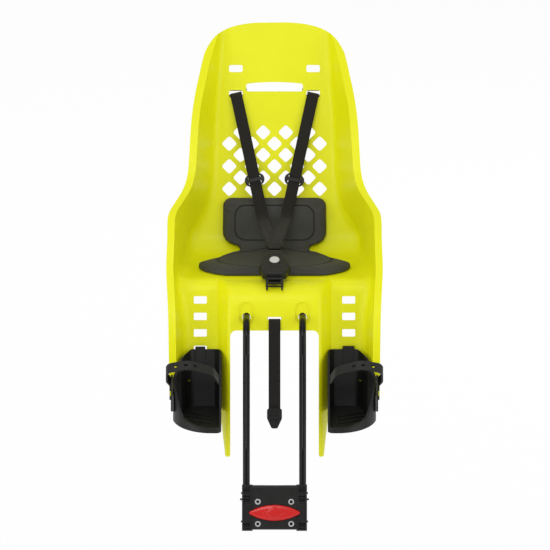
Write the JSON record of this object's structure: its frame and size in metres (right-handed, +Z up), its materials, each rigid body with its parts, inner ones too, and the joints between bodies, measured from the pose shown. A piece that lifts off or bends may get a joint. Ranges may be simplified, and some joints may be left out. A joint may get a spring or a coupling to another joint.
{
  "type": "child bike seat",
  "caption": "Rear child bicycle seat with a yellow moulded shell, black pad, three-point harness, sliding footrests and a seat-tube clamp with sprung release.",
  "frame": {"origin": "on the seat tube axis in the middle of the clamp block", "axes": "+Z up, +Y to the rear of the bicycle, +X to the left of the child; the seat tube leans 18 degrees to the rear"},
  "size_m": [0.368, 0.5377, 0.7523],
  "materials": {
    "shell": "satin moulded polypropylene, fluorescent yellow",
    "pad": "dark foam liner with embossed lines",
    "webbing": "woven black webbing",
    "black_plastic": "black moulded nylon",
    "light_button": "light grey",
    "spring_steel": "blackened spring steel",
    "rubber": "matt black rubber",
    "black_steel": "gloss black coating",
    "screw_steel": "dark zinc",
    "red": "gloss red"
  },
  "bodies": {
    "seat": {"buckle_body": "black_plastic", "buckle_cover": "black_plastic", "buckle_spring": "spring_steel", "button_spring": "spring_steel", "clamp_jaw": "black_plastic", "clamp_nuts": "screw_steel", "clamp_screws": "screw_steel", "crotch_adjuster": "black_plastic", "crotch_anchor": "black_plastic", "crotch_strap": "webbing", "front_tube_liner": "rubber", "harness_tongue": "black_plastic", "latch_spring": "spring_steel", "left_shoulder_strap": "webbing", "left_strap_anchor": "black_plastic", "mount_block": "black_plastic", "rear_tube_liner": "rubber", "right_shoulder_strap": "webbing", "right_strap_anchor": "black_plastic", "rod_clamp_plate": "black_steel", "rod_saddle": "black_plastic", "saddle_screws": "screw_steel", "safety_strap": "webbing", "safety_strap_anchor": "black_plastic", "safety_strap_buckle": "black_plastic", "seat_pad": "pad", "seat_shell": "shell", "support_rod": "black_steel"},
    "release_button": {"release_button": "red"},
    "left_latch": {"left_latch": "black_plastic"},
    "right_latch": {"right_latch": "black_plastic"},
    "buckle_button": {"buckle_button": "light_button"},
    "left_footrest": {"left_footrest": "black_plastic", "left_footrest_clip": "spring_steel", "left_foot_strap": "rubber"},
    "right_footrest": {"right_footrest": "black_plastic", "right_footrest_clip": "spring_steel", "right_foot_strap": "rubber"},
    "left_adjuster": {"left_strap_adjuster": "black_plastic"},
    "right_adjuster": {"right_strap_adjuster": "black_plastic"}
  },
  "joints": [
    {"name": "release_press", "type": "slide", "parent": "seat", "child": "release_button", "axis": [0, 0.9511, -0.309], "range_m": [0, 0.005], "stiffness_N_per_m": 500, "springref_m": -0.006, "deforming": ["button_spring", "latch_spring"]},
    {"name": "left_latch_slide", "type": "slide", "parent": "seat", "child": "left_latch", "axis": [-1, 0, 0], "range_m": [0, 0.003], "deforming": ["latch_spring"]},
    {"name": "right_latch_slide", "type": "slide", "parent": "seat", "child": "right_latch", "axis": [1, 0, 0], "range_m": [0, 0.003], "deforming": ["latch_spring"]},
    {"name": "buckle_press", "type": "slide", "parent": "seat", "child": "buckle_button", "axis": [0, 0.3584, -0.9336], "range_m": [0, 0.003], "stiffness_N_per_m": 500, "springref_m": -0.005, "deforming": ["buckle_spring"]},
    {"name": "left_footrest_slide", "type": "slide", "parent": "seat", "child": "left_footrest", "axis": [0, 0.309, 0.9511], "range_m": [0, 0.084], "deforming": ["left_footrest_clip"]},
    {"name": "right_footrest_slide", "type": "slide", "parent": "seat", "child": "right_footrest", "axis": [0, 0.309, 0.9511], "range_m": [0, 0.084], "deforming": ["right_footrest_clip"]},
    {"name": "left_adjuster_slide", "type": "slide", "parent": "seat", "child": "left_adjuster", "axis": [0.2116, 0.3719, 0.9038], "range_m": [-0.008, 0.05]},
    {"name": "right_adjuster_slide", "type": "slide", "parent": "seat", "child": "right_adjuster", "axis": [-0.2116, 0.3719, 0.9038], "range_m": [-0.008, 0.05]}
  ],
  "couplings": [
    {"joint": "left_latch_slide", "follows": "release_press", "ratio": 0.6},
    {"joint": "right_latch_slide", "follows": "release_press", "ratio": 0.6}
  ]
}
